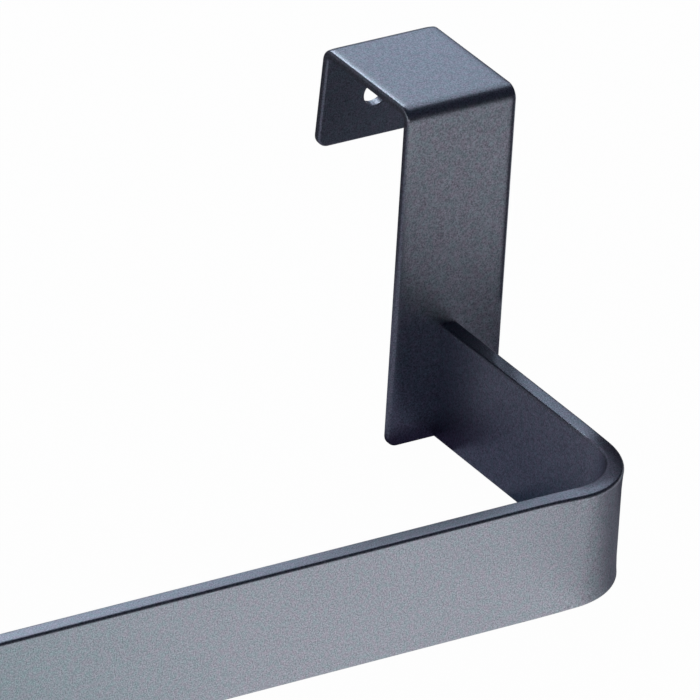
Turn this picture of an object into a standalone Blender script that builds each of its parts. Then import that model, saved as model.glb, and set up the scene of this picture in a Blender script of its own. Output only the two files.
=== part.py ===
"""Side towel rail that hooks over the edge of a board.

A flat bar stands on edge and is bent to a shallow U. Each of its two arms is welded, end on,
to the long leg of a bracket that is bent from steel strip into a hook.

Units are metres. +X runs along the rail, +Y runs from the rail back to the hooks, and +Z is up.
The origin is the centre of the footprint, at the height of the bottom edges.
"""
import math

import bmesh
import bpy
from mathutils import Matrix, Vector

# Flat bar of the rail
BAR_HEIGHT = 0.040
BAR_THICKNESS = 0.006
BAR_EDGE_RADIUS = 0.001
RAIL_LENGTH = 0.400             # over the outer faces of the two arms
STAND_OFF = 0.1135              # front of the rail to the front of the brackets
RAIL_BEND_RADIUS = 0.026        # on the outer face

# Strip of the hook brackets
STRIP_WIDTH = 0.040
STRIP_THICKNESS = 0.003
STRIP_EDGE_RADIUS = 0.001
LONG_LEG = 0.118                # height of the hook's top over the bottom edge
SHORT_LEG = 0.0355              # drop of the back leg from the hook's top
HOOK_DEPTH = 0.050              # over the outer faces of the legs, at the top
HOOK_BEND_RADIUS = 0.0045       # on the outer face
FLARE = math.radians(4.5)       # back leg leans out, so that the hook slips on
LONG_TIP_RADIUS = 0.0045        # corners at the foot of the long leg
SHORT_TIP_RADIUS = 0.004        # corners at the foot of the back leg

# Fixing hole in the back leg
HOLE_DIAMETER = 0.009
HOLE_DROP = 0.0195              # hole's centre below the hook's top
HOLE_BREAK = 0.0003             # chamfer round each rim

# Weld along the outer side of each arm
WELD_LEG = 0.003
WELD_START = 0.002              # height of the lower end
WELD_END = 0.036                # height of the upper end
WELD_RIPPLE_PITCH = 0.0020
WELD_RIPPLE_DEPTH = 0.00018

# Fineness of the rounded forms
RAIL_BEND_STEPS = 24
HOOK_BEND_STEPS = 12
EDGE_STEPS = 3
TIP_CORNER_STEPS = 8
HOLE_STEPS = 48
WELD_RIPPLE_STEPS = 6
WELD_ARC_STEPS = 6

# Satin anthracite coating
COATING_COLOUR = (0.125, 0.130, 0.145, 1.0)
COATING_METALLIC = 0.6
COATING_ROUGHNESS = 0.42

# Derived places, measured back from the front face of the long leg
HOOK_BACK_ARC_Y = HOOK_DEPTH - HOOK_BEND_RADIUS * math.tan((math.pi / 2 - FLARE) / 2)
SHORT_LEG_RUN = (SHORT_LEG - HOOK_BEND_RADIUS * (1 - math.sin(FLARE))) / math.cos(FLARE)
HOOK_REACH = (HOOK_BACK_ARC_Y + HOOK_BEND_RADIUS * math.cos(FLARE)
              + SHORT_LEG_RUN * math.sin(FLARE))
LEG_FRONT_Y = STAND_OFF - (STAND_OFF + HOOK_REACH) / 2
ARM_OUTER_X = RAIL_LENGTH / 2
BRACKET_X = ARM_OUTER_X - BAR_THICKNESS / 2


def clear_scene():
    for old in list(bpy.data.objects):
        bpy.data.objects.remove(old, do_unlink=True)


def coating(name):
    """Satin anthracite coating as a plain material."""
    material = bpy.data.materials.new(name)
    material.use_nodes = True
    shader = material.node_tree.nodes["Principled BSDF"]
    shader.inputs["Base Color"].default_value = COATING_COLOUR
    shader.inputs["Metallic"].default_value = COATING_METALLIC
    shader.inputs["Roughness"].default_value = COATING_ROUGHNESS
    return material


def add_object(name, mesh, parent, location=(0.0, 0.0, 0.0)):
    """Place a mesh, or an empty where mesh is None, in the scene under a name."""
    piece = bpy.data.objects.new(name, mesh)
    bpy.context.scene.collection.objects.link(piece)
    piece.location = location
    piece.parent = parent
    return piece


def finish_mesh(bm, name, material=None):
    """Close the edit of a mesh: outward faces, smooth shading, and a material if it is seen."""
    bmesh.ops.recalc_face_normals(bm, faces=bm.faces)
    mesh = bpy.data.meshes.new(name)
    bm.to_mesh(mesh)
    bm.free()
    if material:
        mesh.materials.append(material)
    mesh.shade_smooth()
    mesh.set_sharp_from_angle(angle=math.radians(40))
    return mesh


def extrude(bm, face, direction, length):
    """Draw a section out in a straight run, and return the section's new face."""
    moved = bmesh.ops.extrude_face_region(bm, geom=[face, *face.edges, *face.verts])["geom"]
    verts = [item for item in moved if isinstance(item, bmesh.types.BMVert)]
    bmesh.ops.translate(bm, verts=verts, vec=Vector(direction) * length)
    return next(item for item in moved if isinstance(item, bmesh.types.BMFace))


def bend(bm, face, centre, axis, angle, steps):
    """Draw a section round a bend, and return the section's new face."""
    geom = [face, *face.edges, *face.verts]
    last = bmesh.ops.spin(bm, geom=geom, cent=centre, axis=axis, dvec=(0, 0, 0),
                          angle=angle, steps=steps)["geom_last"]
    return next(item for item in last if isinstance(item, bmesh.types.BMFace))


def section_face(bm, points):
    return bm.faces.new([bm.verts.new(point) for point in points])


def bar_section():
    """Upright bar section at the arm's end: four rounded edges, listed once round."""
    inset = BAR_THICKNESS / 2 - BAR_EDGE_RADIUS
    corners = ((inset, BAR_HEIGHT - BAR_EDGE_RADIUS, 0), (-inset, BAR_HEIGHT - BAR_EDGE_RADIUS, 90),
               (-inset, BAR_EDGE_RADIUS, 180), (inset, BAR_EDGE_RADIUS, 270))
    points = []
    for across, height, start in corners:
        for step in range(EDGE_STEPS + 1):
            turn = math.radians(start + 90 * step / EDGE_STEPS)
            points.append((BRACKET_X + across + BAR_EDGE_RADIUS * math.cos(turn), LEG_FRONT_Y,
                           height + BAR_EDGE_RADIUS * math.sin(turn)))
    return points


def make_rail_bar(parent):
    """Half of the bar is drawn from the arm's end, round the bend, to the middle, then mirrored."""
    bm = bmesh.new()
    face = section_face(bm, bar_section())
    face = extrude(bm, face, (0, -1, 0), STAND_OFF - RAIL_BEND_RADIUS)
    centre = (ARM_OUTER_X - RAIL_BEND_RADIUS, LEG_FRONT_Y - STAND_OFF + RAIL_BEND_RADIUS, 0)
    face = bend(bm, face, centre, (0, 0, 1), -math.pi / 2, RAIL_BEND_STEPS)
    face = extrude(bm, face, (-1, 0, 0), ARM_OUTER_X - RAIL_BEND_RADIUS)
    bm.faces.remove(face)
    mesh = finish_mesh(bm, "rail_bar", coating("rail_bar_coating"))
    mirror = add_object("rail_bar", mesh, parent).modifiers.new("other half", "MIRROR")
    mirror.use_axis = (True, False, False)
    mirror.merge_threshold = 0.00001


def bracket_mesh():
    """Strip drawn up the long leg, over the top and down the flared back leg."""
    bm = bmesh.new()
    half = STRIP_WIDTH / 2
    start = section_face(bm, ((-half, 0, 0), (half, 0, 0), (half, STRIP_THICKNESS, 0),
                              (-half, STRIP_THICKNESS, 0)))
    arc_z = LONG_LEG - HOOK_BEND_RADIUS
    top_run = HOOK_BACK_ARC_Y - HOOK_BEND_RADIUS
    face = extrude(bm, start, (0, 0, 1), arc_z)
    face = bend(bm, face, (0, HOOK_BEND_RADIUS, arc_z), (1, 0, 0), -math.pi / 2, HOOK_BEND_STEPS)
    face = extrude(bm, face, (0, 1, 0), top_run)
    face = bend(bm, face, (0, HOOK_BACK_ARC_Y, arc_z), (1, 0, 0), FLARE - math.pi / 2,
                HOOK_BEND_STEPS)
    end = extrude(bm, face, (0, math.sin(FLARE), -math.cos(FLARE)), SHORT_LEG_RUN)
    for tip, radius in ((start, LONG_TIP_RADIUS), (end, SHORT_TIP_RADIUS)):
        corners = [edge for edge in tip.edges
                   if abs(edge.verts[0].co.x - edge.verts[1].co.x) < half]
        bmesh.ops.bevel(bm, geom=corners, offset=radius, segments=TIP_CORNER_STEPS,
                        profile=0.5, affect="EDGES")
    return finish_mesh(bm, "hook_bracket", coating("bracket_coating"))


def hole_cutter(name, parent):
    """Drill for the fixing hole, square to the flared leg, with a small flare for each rim."""
    radius = HOLE_DIAMETER / 2
    half_wall = STRIP_THICKNESS / 2
    overshoot = 0.001
    mouth = radius + HOLE_BREAK + overshoot
    profile = ((-half_wall - overshoot, mouth), (HOLE_BREAK - half_wall, radius),
               (half_wall - HOLE_BREAK, radius), (half_wall + overshoot, mouth))
    bm = bmesh.new()
    rings = []
    turns = [2 * math.pi * step / HOLE_STEPS for step in range(HOLE_STEPS)]
    for depth, ring_radius in profile:
        rings.append([bm.verts.new((ring_radius * math.cos(turn), ring_radius * math.sin(turn),
                                    depth)) for turn in turns])
    for low, high in zip(rings, rings[1:]):
        for step in range(HOLE_STEPS):
            after = (step + 1) % HOLE_STEPS
            bm.faces.new((low[step], low[after], high[after], high[step]))
    bm.faces.new(rings[0])
    bm.faces.new(rings[-1])
    cutter = add_object(name, finish_mesh(bm, name), parent)
    along = (HOLE_DROP - HOOK_BEND_RADIUS * (1 - math.sin(FLARE))) / math.cos(FLARE)
    outer_y = HOOK_BACK_ARC_Y + HOOK_BEND_RADIUS * math.cos(FLARE) + along * math.sin(FLARE)
    outer = Vector((0, outer_y, LONG_LEG - HOLE_DROP))
    normal = Vector((0, math.cos(FLARE), math.sin(FLARE)))
    cutter.matrix_local = Matrix.LocRotScale(outer - normal * half_wall,
                                             normal.to_track_quat("Z", "Y"), None)
    cutter.display_type = "WIRE"
    cutter.hide_render = True
    return cutter


def make_bracket(end, mesh, parent):
    """One bracket: the strip's edges are rounded first, then the hole is drilled."""
    piece = add_object(f"hook_bracket_{end}", mesh, parent)
    rounding = piece.modifiers.new("rounded edges", "BEVEL")
    rounding.width = STRIP_EDGE_RADIUS
    rounding.segments = EDGE_STEPS
    rounding.limit_method = "ANGLE"
    rounding.angle_limit = math.radians(60)
    rounding.use_clamp_overlap = False
    drill = piece.modifiers.new("fixing hole", "BOOLEAN")
    drill.operation = "DIFFERENCE"
    drill.solver = "EXACT"
    drill.object = hole_cutter(f"hole_cutter_{end}", parent)


def make_weld(end, side, parent):
    """Rippled fillet in the corner between an arm's outer side and its bracket."""
    length = WELD_END - WELD_START
    ripples = round(length / WELD_RIPPLE_PITCH)
    steps = ripples * WELD_RIPPLE_STEPS
    bm = bmesh.new()
    rings = []
    for step in range(steps + 1):
        part = step / steps
        ripple = abs(math.sin(math.pi * ripples * part))
        swell = (1 - (2 * part - 1) ** 8) ** 0.5
        leg = WELD_LEG * (0.35 + 0.65 * swell) - WELD_RIPPLE_DEPTH * (1 - ripple)
        height = WELD_START + length * part
        ring = [bm.verts.new((0, 0, height))]
        for arc_step in range(WELD_ARC_STEPS + 1):
            turn = math.pi / 2 * arc_step / WELD_ARC_STEPS
            bulge = leg * (0.82 + 0.18 * abs(math.cos(2 * turn)))
            ring.append(bm.verts.new((side * bulge * math.cos(turn), -bulge * math.sin(turn),
                                      height)))
        rings.append(ring)
    count = len(rings[0])
    for low, high in zip(rings, rings[1:]):
        for index in range(count):
            after = (index + 1) % count
            bm.faces.new((low[index], low[after], high[after], high[index]))
    bm.faces.new(rings[0])
    bm.faces.new(rings[-1])
    mesh = finish_mesh(bm, f"weld_{end}", coating(f"weld_{end}_coating"))
    add_object(f"weld_{end}", mesh, parent, (side * ARM_OUTER_X, LEG_FRONT_Y, 0))


def main():
    clear_scene()
    rail = add_object("towel_rail", None, None)
    make_rail_bar(rail)
    mesh = bracket_mesh()
    for end, side in (("right", 1), ("left", -1)):
        seat = add_object(f"{end}_seat", None, rail, (side * BRACKET_X, LEG_FRONT_Y, 0))
        make_bracket(end, mesh, seat)
        make_weld(end, side, rail)


main()
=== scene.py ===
"""Side towel rail on two hook brackets: the looks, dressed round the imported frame.

The rail stands on its bottom edges. +X runs along it, +Y back to the hooks, +Z up, in metres.
"""

import math

import bmesh
import bpy
from mathutils import Euler, Matrix, Vector


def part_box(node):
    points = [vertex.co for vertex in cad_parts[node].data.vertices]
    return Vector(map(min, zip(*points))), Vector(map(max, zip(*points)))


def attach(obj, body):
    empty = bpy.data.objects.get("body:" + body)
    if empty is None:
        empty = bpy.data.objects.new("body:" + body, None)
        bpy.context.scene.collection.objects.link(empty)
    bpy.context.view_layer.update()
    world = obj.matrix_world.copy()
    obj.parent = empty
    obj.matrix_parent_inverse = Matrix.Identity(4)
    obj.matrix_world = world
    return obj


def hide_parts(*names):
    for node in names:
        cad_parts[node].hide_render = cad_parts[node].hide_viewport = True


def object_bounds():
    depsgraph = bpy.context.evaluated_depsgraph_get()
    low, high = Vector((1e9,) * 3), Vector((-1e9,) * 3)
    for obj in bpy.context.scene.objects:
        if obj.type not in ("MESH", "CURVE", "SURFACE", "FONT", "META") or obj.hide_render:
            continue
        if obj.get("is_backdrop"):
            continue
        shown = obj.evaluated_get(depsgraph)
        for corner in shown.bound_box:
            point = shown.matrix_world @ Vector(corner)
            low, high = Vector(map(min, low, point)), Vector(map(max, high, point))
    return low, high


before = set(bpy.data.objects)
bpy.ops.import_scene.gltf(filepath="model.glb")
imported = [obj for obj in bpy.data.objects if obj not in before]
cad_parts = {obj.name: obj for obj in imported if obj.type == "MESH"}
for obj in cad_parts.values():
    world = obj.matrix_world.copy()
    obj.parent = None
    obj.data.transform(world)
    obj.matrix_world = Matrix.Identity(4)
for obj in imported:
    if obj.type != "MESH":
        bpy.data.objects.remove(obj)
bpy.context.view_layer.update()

# Camera
# A long lens looks down on the right-hand end of the rail from the front left, and is turned
# a little on its own axis, as in the photo.
LOOK_AT = Vector((0.15958, 0.02882, 0.03980))
CAMERA_AZIMUTH = math.radians(-33.6949)
CAMERA_ELEVATION = math.radians(27.8755)
CAMERA_ROLL = math.radians(3.5343)
CAMERA_DISTANCE = 3.72813
CAMERA_LENS = 617.143           # mm, on a sensor 36 mm wide

bpy.ops.object.select_all(action="DESELECT")
turn = Euler((math.pi / 2 - CAMERA_ELEVATION, 0, CAMERA_AZIMUTH)).to_matrix()
turn = turn @ Matrix.Rotation(CAMERA_ROLL, 3, "Z")
bpy.ops.object.camera_add(location=LOOK_AT + turn.col[2] * CAMERA_DISTANCE,
                          rotation=turn.to_euler())
camera = bpy.context.object
camera.data.lens = CAMERA_LENS
bpy.context.scene.camera = camera
bpy.context.scene.view_settings.view_transform = "Standard"

# Floor
# A round white sweep whose rim turns up far behind whatever is looked at. The camera and the
# metal see it nearly white, and the rest of it is paint that takes the rail's shadow.
FLOOR_RADIUS = 10.0
FLOOR_SIDES = 96
FLOOR_RIM_RADIUS = 1.5
FLOOR_RIM_STEPS = 8
FLOOR_DROP = 0.0002             # keeps the floor clear of the rail's bottom edges
FLOOR_PAINT = (0.86, 0.86, 0.87, 1.0)
FLOOR_WHITE_SHARE = 0.985


class Signal:
    """A socket of a shader, which Python's operators work on by adding Math nodes."""

    def __init__(self, tree, socket):
        self.tree = tree
        self.socket = socket

    @classmethod
    def node(cls, tree, kind, settings=None, sockets=None, output=0):
        """Add a node, set it up, fill or link its sockets, and return one of its outputs."""
        made = tree.nodes.new(kind)
        for name, value in (settings or {}).items():
            setattr(made, name, value)
        for name, value in (sockets or {}).items():
            if isinstance(value, cls):
                tree.links.new(value.socket, made.inputs[name])
            else:
                made.inputs[name].default_value = value
        return cls(tree, made.outputs[output])

    def maths(self, operation, first, second):
        return Signal.node(self.tree, "ShaderNodeMath", {"operation": operation},
                           {0: first, 1: second})

    def __add__(self, other):
        return self.maths("ADD", self, other)

    def __sub__(self, other):
        return self.maths("SUBTRACT", self, other)

    def __rsub__(self, other):
        return self.maths("SUBTRACT", other, self)

    def __mul__(self, other):
        return self.maths("MULTIPLY", self, other)

    __radd__ = __add__
    __rmul__ = __mul__


def new_material(name):
    """Make an empty node material, and return it with its tree and its output node."""
    material = bpy.data.materials.new(name)
    material.use_nodes = True
    tree = material.node_tree
    tree.nodes.clear()
    return material, tree, tree.nodes.new("ShaderNodeOutputMaterial")


floor_material, tree, output = new_material("white_sweep")
camera_ray, glossy_ray, transmission_ray = (
    Signal.node(tree, "ShaderNodeLightPath", output=f"Is {kind} Ray")
    for kind in ("Camera", "Glossy", "Transmission"))
seen = camera_ray + glossy_ray + transmission_ray
paint = Signal.node(tree, "ShaderNodeBsdfDiffuse", sockets={"Color": FLOOR_PAINT})
white = Signal.node(tree, "ShaderNodeEmission",
                    sockets={"Color": (1.0, 1.0, 1.0, 1.0), "Strength": 1.0})
mixed = Signal.node(tree, "ShaderNodeMixShader",
                    sockets={0: seen * FLOOR_WHITE_SHARE, 1: paint, 2: white})
tree.links.new(mixed.socket, output.inputs["Surface"])

bpy.ops.object.select_all(action="DESELECT")
bpy.ops.mesh.primitive_circle_add(vertices=FLOOR_SIDES, radius=FLOOR_RADIUS, fill_type="NGON",
                                  location=(0, 0, -FLOOR_DROP))
floor = bpy.context.object
floor.name = "floor"
bpy.ops.object.mode_set(mode="EDIT")
bpy.ops.mesh.select_all(action="SELECT")
radius, height = FLOOR_RADIUS, 0.0
for step in range(1, FLOOR_RIM_STEPS + 1):
    angle = math.pi / 2 * step / FLOOR_RIM_STEPS
    next_radius = FLOOR_RADIUS + FLOOR_RIM_RADIUS * math.sin(angle)
    next_height = FLOOR_RIM_RADIUS * (1 - math.cos(angle))
    bpy.ops.mesh.select_mode(type="EDGE")
    if step == 1:
        bpy.ops.mesh.region_to_loop()
    bpy.ops.mesh.extrude_region_move(
        TRANSFORM_OT_translate={"value": (0, 0, next_height - height)})
    grow = next_radius / radius
    bpy.ops.transform.resize(value=(grow, grow, 1))
    radius, height = next_radius, next_height
bpy.ops.object.mode_set(mode="OBJECT")
bpy.ops.object.shade_smooth()
floor.data.materials.append(floor_material)
floor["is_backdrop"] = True

# Lamps and cards
# Four soft boxes and a dim studio light the rail. Glowing grey and dark cards, which only
# reflections see, stand for the walls, and paint shade into the metal's reflections: the white
# floor's shaded parts, the rail's shadows on it and the shade inside the hook. Two of them also
# cast real shadows, one beside the long leg and one over the bend.
ROOM = (0.026, 0.029, 0.046, 1.0)
MIRRORED_BY_TOPS = (0.486, 0.737, 0.469)    # points to what the camera sees in a level face
BLUE_LIGHT = (0.74, 0.85, 1.0)
PALE_BLUE_LIGHT = (0.80, 0.88, 1.0)
NEAR_WHITE_LIGHT = (0.88, 0.94, 1.0)

world = bpy.data.worlds.new("studio")
bpy.context.scene.world = world
world.use_nodes = True
world.node_tree.nodes["Background"].inputs["Color"].default_value = ROOM


def add_lamp(name, direction, distance, size, radiance, colour, aim):
    """Hang a soft box in a direction from the place it aims at. A radiance of 1 looks white."""
    bpy.ops.object.select_all(action="DESELECT")
    direction = Vector(direction).normalized()
    bpy.ops.object.light_add(type="AREA", location=Vector(aim) + direction * distance,
                             rotation=direction.to_track_quat("Z", "Y").to_euler())
    lamp = bpy.context.object
    lamp.name = name
    lamp.data.shape = "RECTANGLE"
    lamp.data.size, lamp.data.size_y = size
    lamp.data.color = colour
    lamp.data.energy = radiance * math.pi * size[0] * size[1]
    lamp.visible_camera = False


def mix_colour(tree, blend, factor, first, second):
    return Signal.node(tree, "ShaderNodeMix", {"data_type": "RGBA", "blend_type": blend},
                       {0: factor, 6: first, 7: second}, output=2)


def add_card(name, low, high, shade, last_shade=None, fade=None, pivot=None):
    """Put up a thin card that only reflections see. It glows in its shade, as painted shade or a
    painted reflection. Its shade can fade to another one on the way from one place along X to
    another, or from one angle round a pivot to another."""
    bpy.ops.object.select_all(action="DESELECT")
    low, high = Vector(low), Vector(high)
    bpy.ops.mesh.primitive_cube_add(size=1, location=(low + high) / 2)
    card = bpy.context.object
    card.name = name
    card.scale = high - low
    bpy.ops.object.transform_apply(location=True, rotation=True, scale=True)
    material, tree, output = new_material(name)
    shade = (*shade, 1)
    if last_shade:
        place = Signal.node(tree, "ShaderNodeTexCoord", output="Object")
        across, away = (Signal.node(tree, "ShaderNodeSeparateXYZ", sockets={0: place}, output=axis)
                        for axis in ("X", "Y"))
        if pivot:
            across = across.maths("ARCTAN2", across - pivot[0], pivot[1] - away)
        share = (across - fade[0]) * (1 / (fade[1] - fade[0]))
        shade = mix_colour(tree, "MIX", share, shade, (*last_shade, 1))
    # The card glows in its shade: painted shade or a painted reflection for the metal to mirror.
    painted_glow = Signal.node(tree, "ShaderNodeEmission", sockets={"Color": shade, "Strength": 1.0})
    tree.links.new(painted_glow.socket, output.inputs["Surface"])
    card.data.materials.append(material)
    card.visible_camera = card.visible_shadow = card.visible_diffuse = False
    card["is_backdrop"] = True
    return card


add_lamp("soft_box_right", MIRRORED_BY_TOPS, distance=0.695, size=(0.13, 0.13), radiance=1.36,
         colour=BLUE_LIGHT, aim=(0.1165, -0.0707, -0.0094))
add_lamp("soft_box_over_plate", MIRRORED_BY_TOPS, distance=0.44, size=(0.13, 0.13), radiance=0.58,
         colour=BLUE_LIGHT, aim=(-0.0126, -0.0333, 0.0653))
add_lamp("soft_box_overhead", (0.486, 0.39, 0.78), distance=0.80, size=(0.42, 0.72), radiance=0.72,
         colour=PALE_BLUE_LIGHT, aim=(0.20, 0.035, 0.118))
add_lamp("soft_box_back_left", (0.12, 0.75, 0.63), distance=1.1, size=(0.46, 0.38), radiance=3.5,
         colour=NEAR_WHITE_LIGHT, aim=(0.20, 0.05, 0.10))

# Each card has two opposite corners and a shade, which is white at 1. Where cards overlap on the
# floor, the thicker one covers the thinner one.
# Painted reflections of the floor: a bluish-green tint that fades to white on the left, and
# painted shade where the floor in front and to the right would be less lit.
add_card("floor_left", (-0.8, -0.26, 0), (0.165, -0.09, 0.0001), (0.74, 0.86, 0.835),
         (0.98, 0.98, 0.98), fade=(-0.03, 0.07))
add_card("painted_far_front_shade", (-2.0, -3.0, 0), (2.6, -0.26, 0.0001), (0.35, 0.36, 0.38))
add_card("floor_right", (0.27, -0.26, 0), (2.6, 1.45, 0.0001), (0.47, 0.47, 0.50))
# Painted shadow of the rail on the floor, as the metal mirrors it: round the bend, by the arm,
# inside the U, in the corner, by the leg, at the foot, and behind the rail.
add_card("shade_right", (0.205, -0.13, 0), (0.27, 1.45, 0.0001), (0.23, 0.23, 0.26))
add_card("shade_round_bend", (0.174, -0.16, 0), (0.235, -0.03, 0.0002), (0.985, 0.985, 0.985),
         (0.22, 0.22, 0.25), fade=(0, math.radians(88)), pivot=(0.174, -0.0765))
add_card("shade_by_arm", (0.235, -0.06, 0), (0.29, 0.06, 0.0003), (0.05, 0.05, 0.07))
add_card("shade_inside", (-0.8, -0.072, 0), (0.205, 0.12, 0.0001), (0.19, 0.19, 0.24))
add_card("shade_in_corner", (0.168, -0.05, 0), (0.205, -0.012, 0.0002), (0.05, 0.065, 0.10))
add_card("shade_by_leg", (0.160, -0.012, 0), (0.205, 0.04, 0.0002), (0.12, 0.125, 0.175))
add_card("shade_at_foot", (0.172, 0.020, 0), (0.215, 0.04, 0.0003), (0.03, 0.025, 0.05))
add_card("painted_shade_behind", (-0.8, 0.12, 0), (0.205, 1.45, 0.0001), (0.06, 0.06, 0.072))
# Painted shade inside the hook, a dark card that only the hook's inner faces mirror.
add_card("painted_shade_in_hook", (0.2185, 0.036, 0.03), (0.2186, 0.079, 0.114), (0.10, 0.105, 0.13))
# These two cast real shadows from the lamps. Their dark glow is painted shade in the metal's
# reflections, and over the bend it gets darker towards +X.
flags = (add_card("shading_card_beside_leg", (0.217, 0.028, 0.042), (0.2225, 0.0281, 0.117),
                  (0.03, 0.03, 0.045)),
         add_card("shading_card_over_bend", (0.181, -0.073, 0.047), (0.212, -0.045, 0.0471),
                  (0.26, 0.26, 0.32), (0.02, 0.02, 0.03), fade=(0.188, 0.210)))
for flag in flags:
    flag.visible_shadow = True
add_card("wall_behind", (-0.2, 1.45, 0), (2.6, 1.451, 1.2), (0.02, 0.02, 0.03))
add_card("wall_back_left", (-4.0, 1.45, 0), (-0.2, 1.451, 2.2), (0.14, 0.14, 0.17))
add_card("wall_right", (2.6, -3.0, 0), (2.601, 1.45, 1.2), (0.02, 0.02, 0.03))
add_card("wall_front", (-2.0, -3.001, 0), (2.6, -3.0, 1.2), (0.02, 0.02, 0.03))

# Coating
# Satin anthracite coating with a metallic flake, sprayed over the welded rail. It is finely
# grained, with soft greenish and mauve patches about two millimetres wide.
COATING_GREEN = (0.298, 0.353, 0.394, 1.0)
COATING_MAUVE = (0.350, 0.338, 0.402, 1.0)
COATING_ROUGHNESS = 0.36
ROUGHNESS_SPREAD = 0.06
EDGE_TINT = (0.78, 0.78, 0.80, 1.0)
GRAIN_SCALE = 2250.0            # lumps in a metre
GRAIN_DETAIL = 1.5
GRAIN_CONTRAST = 1.9
PATCH_SCALE = 480.0
PATCH_CONTRAST = 2.8
CLOUD_SCALE = 26.0
CLOUD_CONTRAST = 0.15
BUMP_STRENGTH = 0.08
BUMP_HEIGHT = 0.00003

coating, tree, output = new_material("satin_anthracite")
place = Signal.node(tree, "ShaderNodeTexCoord", output="Object")


def noise(scale, detail=2.0):
    """Soft noise fixed to the object, whose middle value is 0.5."""
    return Signal.node(tree, "ShaderNodeTexNoise",
                       sockets={"Vector": place, "Scale": scale, "Detail": detail})


grain = noise(GRAIN_SCALE, GRAIN_DETAIL)
patch = noise(PATCH_SCALE)
cloud = noise(CLOUD_SCALE)
tint = mix_colour(tree, "MIX", (patch - 0.5) * PATCH_CONTRAST + 0.5, COATING_GREEN, COATING_MAUVE)
light = (grain - 0.5) * GRAIN_CONTRAST + (cloud - 0.5) * CLOUD_CONTRAST + 1.0
tone = Signal.node(tree, "ShaderNodeCombineXYZ", sockets={0: light, 1: light, 2: light})
colour = mix_colour(tree, "MULTIPLY", 1.0, tint, tone)
bump = Signal.node(tree, "ShaderNodeBump", sockets={
    "Strength": BUMP_STRENGTH, "Distance": BUMP_HEIGHT, "Height": grain})
shader = Signal.node(tree, "ShaderNodeBsdfPrincipled", sockets={
    "Base Color": colour, "Metallic": 1.0, "Specular Tint": EDGE_TINT,
    "Roughness": (cloud - 0.5) * ROUGHNESS_SPREAD + COATING_ROUGHNESS, "Normal": bump})
tree.links.new(shader.socket, output.inputs["Surface"])

# Rail bar
# One flat steel bar, 40 by 6 mm, standing on edge. Its edges are rounded, and it is bent twice
# round a former to a shallow U whose arms end square against the brackets.
BAR_HEIGHT = 0.040
BAR_THICKNESS = 0.006
BAR_EDGE_RADIUS = 0.0011
BAR_EDGE_STEPS = 6
BAR_CUTS_ACROSS = 5
BAR_CUTS_UP = 9
RAIL_BEND_RADIUS = 0.026        # on the outer face
RAIL_BEND_STEPS = 40
BEND_LEAD = 0.016               # how far beside a bend its pull on the section reaches
BEND_LEAD_STEPS = 5
BEND_SAG = 0.0010               # the stretched outer side draws in at the bar's edges
BEND_CURL = 0.0006              # the edges curl outwards
CURL_DEPTH = 0.008              # how far in from the edges the curl reaches
CROWN_RISE = 0.00005            # the bar's narrow sides are slightly rounded
MOSTLY = 0.9                    # from this share on, an edge or a normal lies along an axis
JUST_OVER = 1.02                # widens a limit that is tested for
SHARP = math.radians(60)
SMOOTH = math.radians(40)       # below this, an edge is shaded smooth
LARGE_FACE_WEIGHT = 90          # lets the large faces rule the shading of their corners
MERGE_DISTANCE = 0.00001
bar_low, bar_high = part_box("rail_bar")
arm_x = bar_high.x - BAR_THICKNESS / 2
arm_end_y = bar_high.y
bend_x = bar_high.x - RAIL_BEND_RADIUS
bend_y = bar_low.y + RAIL_BEND_RADIUS


def add_block(name, low, high):
    """Add a cube from corner to corner, with its place in its mesh, open for editing."""
    bpy.ops.object.select_all(action="DESELECT")
    bpy.ops.mesh.primitive_cube_add(size=1, location=(Vector(low) + Vector(high)) / 2)
    piece = bpy.context.object
    piece.name = piece.data.name = name
    piece.scale = Vector(high) - Vector(low)
    bpy.ops.object.transform_apply(location=True, rotation=True, scale=True)
    bpy.ops.object.mode_set(mode="EDIT")
    return piece


def pick(piece, kind, test):
    """Select the faces or edges of a piece that pass a test, and nothing else."""
    bpy.ops.mesh.select_mode(type=kind)
    bpy.ops.mesh.select_all(action="DESELECT")
    mesh = bmesh.from_edit_mesh(piece.data)
    for item in {"FACE": mesh.faces, "EDGE": mesh.edges}[kind]:
        if test(item):
            item.select_set(True)
    mesh.select_flush_mode()
    bmesh.update_edit_mesh(piece.data)


def along(edge, axis):
    """How far an edge runs along an axis, as a share of its length."""
    run = edge.verts[1].co - edge.verts[0].co
    return abs(run[axis]) / run.length


def draw_out(run, steps=1):
    """Draw the selected end out along a run, in equal steps."""
    for step in range(steps):
        bpy.ops.mesh.extrude_region_move(
            TRANSFORM_OT_translate={"value": [part / steps for part in run]})


def wrap(steps, angle, centre, axis):
    """Bend the selected end on round an axis."""
    bpy.ops.mesh.spin(steps=steps, angle=angle, center=centre, axis=axis)


def finish_piece(piece, node):
    """Close the edit, shade and coat the piece, and put it in its CAD node's place."""
    bpy.ops.mesh.select_all(action="SELECT")
    bpy.ops.mesh.remove_doubles(threshold=MERGE_DISTANCE)
    bpy.ops.mesh.normals_make_consistent(inside=False)
    bpy.ops.object.mode_set(mode="OBJECT")
    bpy.ops.object.shade_smooth_by_angle(angle=SMOOTH)
    even = piece.modifiers.new("even shading", "WEIGHTED_NORMAL")
    even.weight = LARGE_FACE_WEIGHT
    even.keep_sharp = True
    bpy.ops.object.modifier_apply(modifier=even.name)
    piece.data.materials.append(coating)
    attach(piece, "root")
    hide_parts(node)


def push(piece, name, axis, distance, share):
    """Move vertices along an axis, each by the share of a distance that its place gives."""
    group = piece.vertex_groups.new(name=name)
    for vert in piece.data.vertices:
        weight = share(vert.co)
        if weight > 0:
            group.add([vert.index], weight, "REPLACE")
    move = piece.modifiers.new(name, "DISPLACE")
    move.direction = axis
    move.mid_level = 0
    move.strength = distance
    move.vertex_group = group.name
    bpy.ops.object.modifier_apply(modifier=move.name)
    piece.vertex_groups.clear()


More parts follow.
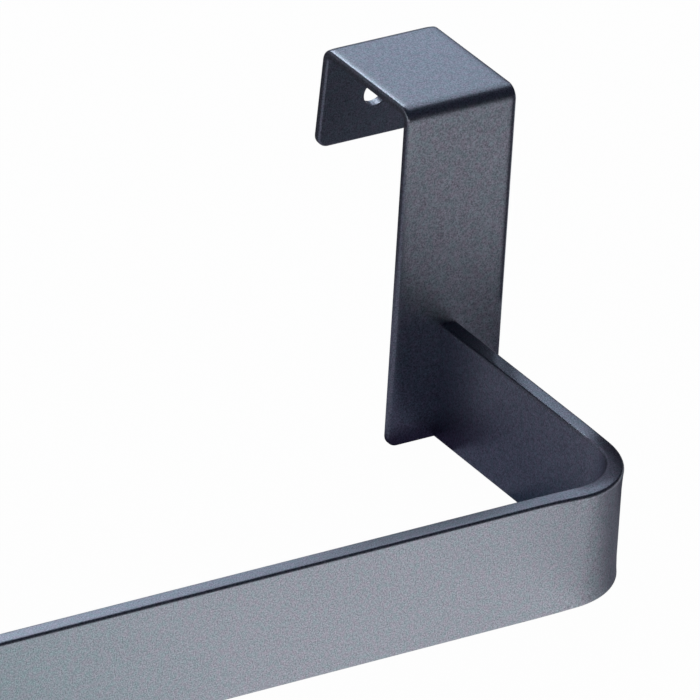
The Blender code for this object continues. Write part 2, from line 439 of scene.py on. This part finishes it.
def bend_pull(place):
    """The bend's pull at a place in the bar, from 0 to 1, its outward direction, and how far
    across the bar from the inner face to the outer one the place lies, also from 0 to 1."""
    side = math.copysign(1, place.x)
    across, out = place.x * side - bend_x, bend_y - place.y
    if across > 0 and out > 0:
        turned = math.atan2(across, out)
        inside = min(turned, math.pi / 2 - turned) * RAIL_BEND_RADIUS
    else:
        inside = min(across, out)
    outward = Vector((max(across, 0) * side, -max(out, 0)))
    full_inside = RAIL_BEND_RADIUS / 2
    pull = min(max((inside + BEND_LEAD) / (BEND_LEAD + full_inside), 0), 1)
    eased = pull * pull * (3 - 2 * pull)
    share = (outward.length - RAIL_BEND_RADIUS + BAR_THICKNESS) / BAR_THICKNESS
    return eased, outward.normalized(), share


rail = add_block("towel_rail_bar", (arm_x - BAR_THICKNESS / 2, bend_y + BEND_LEAD, 0),
                 (arm_x + BAR_THICKNESS / 2, arm_end_y, BAR_HEIGHT))
pick(rail, "EDGE", lambda edge: along(edge, 0) > MOSTLY)
bpy.ops.mesh.subdivide(number_cuts=BAR_CUTS_ACROSS)
pick(rail, "EDGE", lambda edge: along(edge, 2) > MOSTLY)
bpy.ops.mesh.subdivide(number_cuts=BAR_CUTS_UP)
pick(rail, "EDGE", lambda edge: along(edge, 1) > MOSTLY and edge.calc_face_angle(0) > SHARP)
bpy.ops.mesh.bevel(offset=BAR_EDGE_RADIUS, segments=BAR_EDGE_STEPS, affect="EDGES")
pick(rail, "FACE", lambda face: face.normal.y < -MOSTLY)
draw_out((0, -BEND_LEAD, 0), BEND_LEAD_STEPS)
wrap(RAIL_BEND_STEPS, math.pi / 2, (bend_x, bend_y, 0), (0, 0, 1))
draw_out((-BEND_LEAD, 0, 0), BEND_LEAD_STEPS)
draw_out((-2 * (bend_x - BEND_LEAD), 0, 0))
draw_out((-BEND_LEAD, 0, 0), BEND_LEAD_STEPS)
wrap(RAIL_BEND_STEPS, math.pi / 2, (-bend_x, bend_y, 0), (0, 0, 1))
draw_out((0, BEND_LEAD, 0), BEND_LEAD_STEPS)
draw_out((0, arm_end_y - bend_y - BEND_LEAD, 0))
bpy.ops.object.mode_set(mode="OBJECT")


def depth(place):
    """How far a place in the bar is from the nearer of its two edges, top and bottom."""
    return min(place.z, BAR_HEIGHT - place.z)


def curl(place):
    """The share of the bend's curl that a place in the bar takes."""
    return max(1 - depth(place) / CURL_DEPTH, 0) ** 2 * bend_pull(place)[0]


for end, top in (("top", 1), ("bottom", -1)):
    def on_end(place):
        """True in the rounded part at this end of the bar's height."""
        nearer = (place.z - BAR_HEIGHT / 2) * top > 0
        return nearer and depth(place) < BAR_EDGE_RADIUS * JUST_OVER

    push(rail, f"{end} crown", "Z", CROWN_RISE * top,
         lambda place: on_end(place) * (1 - (2 * bend_pull(place)[2] - 1) ** 2))
    push(rail, f"{end} sag", "Z", -BEND_SAG * top,
         lambda place: on_end(place) * bend_pull(place)[0] * max(bend_pull(place)[2], 0) ** 2)
for end, side in (("right", 1), ("left", -1)):
    push(rail, f"{end} curl", "X", BEND_CURL * side,
         lambda place: curl(place) * bend_pull(place)[1].x * side)
push(rail, "curl to the front", "Y", -BEND_CURL,
     lambda place: -curl(place) * bend_pull(place)[1].y)
bpy.ops.object.mode_set(mode="EDIT")
finish_piece(rail, "rail_bar")

# Hook brackets
# Each is one steel strip, 40 by 3 mm, folded over to hook on a board's edge. The back leg flares
# out, and is drilled for a screw. The arm of the rail is welded to the long leg's face.
STRIP_THICKNESS = 0.003
STRIP_EDGE_RADIUS = 0.0009
STRIP_EDGE_STEPS = 5
STRIP_RIM = ((0.0015, 0.00021), (0.0008, 0.00008), (0.0012, 0.00005))   # widths and rises
STRIP_RIM_RISE = 0.0004         # a little over all the rises together
HOOK_BEND_RADIUS = 0.0045       # on the outer face
HOOK_BEND_STEPS = 20
HOOK_DEPTH = 0.050
SHORT_LEG = 0.0355
FLARE = math.radians(4.5)
LONG_TIP_RADIUS = 0.0035
SHORT_TIP_RADIUS = 0.004
TIP_STEPS = 10
HOLE_RADIUS = 0.0045
HOLE_DROP = 0.0195
HOLE_STEPS = 96
HOLE_RIM_RADIUS = 0.00035
HOLE_RIM_STEPS = 3
DRILL_LENGTH = STRIP_THICKNESS * 3
LOOKS_UP = 0.02                 # a normal that rises by more is on the hook's outer side

for end in ("right", "left"):
    node = f"hook_bracket_{end}"
    low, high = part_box(node)
    fold_z = high.z - HOOK_BEND_RADIUS
    back_fold_y = low.y + HOOK_DEPTH - HOOK_BEND_RADIUS * math.tan((math.pi / 2 - FLARE) / 2)
    down = Vector((0, math.sin(FLARE), -math.cos(FLARE)))
    short_run = (SHORT_LEG - HOOK_BEND_RADIUS * (1 - math.sin(FLARE))) / math.cos(FLARE)
    bracket = add_block(f"bracket_{end}", (low.x, low.y, 0),
                        (high.x, low.y + STRIP_THICKNESS, fold_z))
    pick(bracket, "EDGE", lambda edge: along(edge, 1) > MOSTLY
         and edge.verts[0].co.z < LONG_TIP_RADIUS)
    bpy.ops.mesh.bevel(offset=LONG_TIP_RADIUS, segments=TIP_STEPS, affect="EDGES")
    pick(bracket, "FACE", lambda face: face.normal.z > MOSTLY)
    wrap(HOOK_BEND_STEPS, math.pi / 2, (0, low.y + HOOK_BEND_RADIUS, fold_z), (1, 0, 0))
    draw_out((0, back_fold_y - low.y - HOOK_BEND_RADIUS, 0))
    wrap(HOOK_BEND_STEPS, math.pi / 2 - FLARE, (0, back_fold_y, fold_z), (1, 0, 0))
    draw_out(down * short_run)
    tip_z = fold_z - short_run * math.cos(FLARE)
    pick(bracket, "EDGE", lambda edge: along(edge, 0) < 1 - MOSTLY and all(
        vert.co.y > back_fold_y and vert.co.z < tip_z + STRIP_THICKNESS for vert in edge.verts)
        and edge.calc_length() < STRIP_THICKNESS * JUST_OVER)
    bpy.ops.mesh.bevel(offset=SHORT_TIP_RADIUS, segments=TIP_STEPS, affect="EDGES")
    pick(bracket, "FACE", lambda face: face.normal.z > LOOKS_UP
         or face.calc_center_median().y < low.y + MERGE_DISTANCE)
    for width, rise in STRIP_RIM:
        bpy.ops.mesh.inset(thickness=width, depth=0)
        bpy.ops.transform.shrink_fatten(value=rise)
    pick(bracket, "EDGE", lambda edge: edge.calc_face_angle(0) > SHARP)
    bpy.ops.mesh.bevel(offset=STRIP_EDGE_RADIUS, segments=STRIP_EDGE_STEPS, affect="EDGES",
                       clamp_overlap=False)
    bpy.ops.object.mode_set(mode="OBJECT")

    hole_run = (HOLE_DROP - HOOK_BEND_RADIUS * (1 - math.sin(FLARE))) / math.cos(FLARE)
    outward = Vector((0, math.cos(FLARE), math.sin(FLARE)))
    hole = Vector(((low.x + high.x) / 2, back_fold_y, fold_z))
    hole += down * hole_run + outward * (HOOK_BEND_RADIUS - STRIP_THICKNESS / 2)
    bpy.ops.object.select_all(action="DESELECT")
    bpy.ops.mesh.primitive_cylinder_add(vertices=HOLE_STEPS, radius=HOLE_RADIUS,
                                        depth=DRILL_LENGTH, location=hole,
                                        rotation=outward.to_track_quat("Z", "Y").to_euler())
    drill = bpy.context.object
    bpy.ops.object.select_all(action="DESELECT")
    bracket.select_set(True)
    bpy.context.view_layer.objects.active = bracket
    cut = bracket.modifiers.new("fixing hole", "BOOLEAN")
    cut.operation = "DIFFERENCE"
    cut.solver = "EXACT"
    cut.object = drill
    bpy.ops.object.modifier_apply(modifier=cut.name)
    bpy.data.objects.remove(drill)
    bpy.ops.object.mode_set(mode="EDIT")

    def on_rim(edge):
        """True on the two sharp rings where the drill broke through the back leg."""
        for vert in edge.verts:
            off = vert.co - hole
            side = off.dot(outward)
            if (off - outward * side).length > HOLE_RADIUS * JUST_OVER:
                return False
            if abs(abs(side) - STRIP_THICKNESS / 2) > STRIP_RIM_RISE:
                return False
        return abs((edge.verts[1].co - edge.verts[0].co).dot(outward)) < STRIP_RIM_RISE

    pick(bracket, "EDGE", on_rim)
    bpy.ops.mesh.bevel(offset=HOLE_RIM_RADIUS, segments=HOLE_RIM_STEPS, affect="EDGES")
    finish_piece(bracket, node)

# Welds
# A bead of weld runs up the outer side of each arm, in its corner with the long leg. It was laid
# in overlapping pools, and the coating went on over it.
WELD_LEG = 0.003
WELD_END = WELD_LEG * 0.6       # from a weld's end to the middle of the pool there
WELD_PITCH = 0.0020
POOL_RADIUS = WELD_LEG * 0.92
POOL_FLATNESS = 0.55
POOL_TILT = math.radians(-18)
POOL_SIDES = 32
POOL_RINGS = 20
WELD_REMESH = 0.00018

for end, side in (("right", 1), ("left", -1)):
    node = f"weld_{end}"
    low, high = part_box(node)
    corner = Vector((bar_high.x * side, arm_end_y, low.z + WELD_END))
    pools = int((high.z - low.z - WELD_END * 2) / WELD_PITCH) + 1
    bpy.ops.object.select_all(action="DESELECT")
    bpy.ops.mesh.primitive_uv_sphere_add(segments=POOL_SIDES, ring_count=POOL_RINGS,
                                         radius=POOL_RADIUS, location=corner)
    bead = bpy.context.object
    bead.name = bead.data.name = f"weld_bead_{end}"
    bead.scale = (1, 1, POOL_FLATNESS)
    bead.rotation_euler = (POOL_TILT, 0, 0)
    bpy.ops.object.transform_apply(location=True, rotation=True, scale=True)
    row = bead.modifiers.new("pools in a row", "ARRAY")
    row.count = pools
    row.use_relative_offset = False
    row.use_constant_offset = True
    row.constant_offset_displace = (0, 0, WELD_PITCH)
    bpy.ops.object.modifier_apply(modifier=row.name)
    bead.data.remesh_voxel_size = WELD_REMESH
    bpy.ops.object.voxel_remesh()
    bpy.ops.object.mode_set(mode="EDIT")
    finish_piece(bead, node)

low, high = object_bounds()
